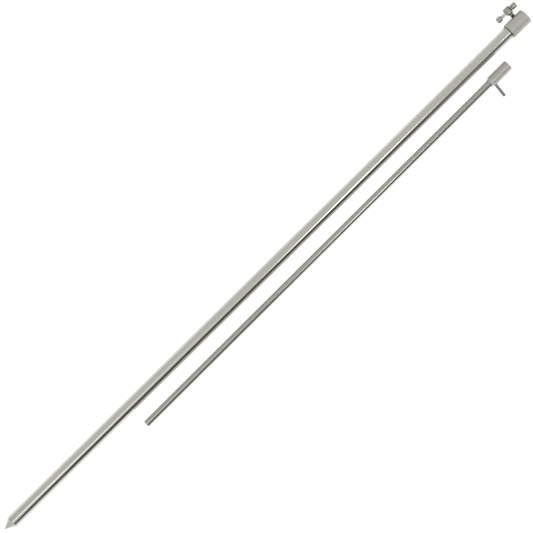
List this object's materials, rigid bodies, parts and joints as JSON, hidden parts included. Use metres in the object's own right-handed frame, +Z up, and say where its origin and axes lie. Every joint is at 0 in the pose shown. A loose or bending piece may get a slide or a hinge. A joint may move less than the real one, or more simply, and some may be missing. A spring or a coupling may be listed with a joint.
{
  "type": "bank stick",
  "caption": "Telescopic angling bank stick: spiked outer tube with a collar and tommy-bar clamp screw, and an inner rod with a threaded socket head and side peg, laid beside it.",
  "frame": {"origin": "on the ground, below the middle of the box round both pieces as they lie side by side", "axes": "+X from the spike to the collar, along the tube; +Y towards the clamp screw; +Z up from the ground"},
  "size_m": [0.9212, 0.079, 0.02],
  "materials": {
    "polished_tube": "drawn stainless steel, mirror polished along its length",
    "turned_steel": "turned stainless steel, polished, with fine lathe marks",
    "brass_pad": "turned brass, plain"
  },
  "bodies": {
    "outer_stick": {"outer_tube": "polished_tube", "spike_point": "turned_steel", "collar": "turned_steel"},
    "pad": {"thrust_pad": "brass_pad"},
    "screw": {"clamp_screw": "turned_steel"},
    "bar": {"tommy_bar": "polished_tube", "bar_knob_upper": "turned_steel", "bar_knob_lower": "turned_steel"},
    "rod_foot": {"rod_foot_plug": "turned_steel"},
    "rod": {"inner_rod": "polished_tube", "rod_head": "turned_steel", "side_pin": "polished_tube"}
  },
  "joints": [
    {"name": "screw_travel", "type": "slide", "parent": "outer_stick", "child": "pad", "axis": [0, 1, 0], "range_m": [-0.00401, 0.00151]},
    {"name": "screw_turn", "type": "hinge", "parent": "pad", "child": "screw", "pos_m": [0.44725, 0.01441, 0.01], "axis": [0, 1, 0], "range_deg": [-1440, 540]},
    {"name": "bar_slide", "type": "slide", "parent": "screw", "child": "bar", "axis": [1, 0, 0], "range_m": [-0.00045, 0.00625]},
    {"name": "rod_slide", "type": "slide", "parent": "outer_stick", "child": "rod_foot", "axis": [1, 0.0037, 0], "range_m": [0, 0.66]},
    {"name": "rod_turn", "type": "hinge", "parent": "rod_foot", "child": "rod", "pos_m": [-0.24155, -0.01659, 0.007], "axis": [-1, -0.0037, 0], "range_deg": [0, 150]}
  ],
  "couplings": [
    {"joint": "screw_travel", "follows": "screw_turn", "m_per_rad": 0.00015915}
  ]
}
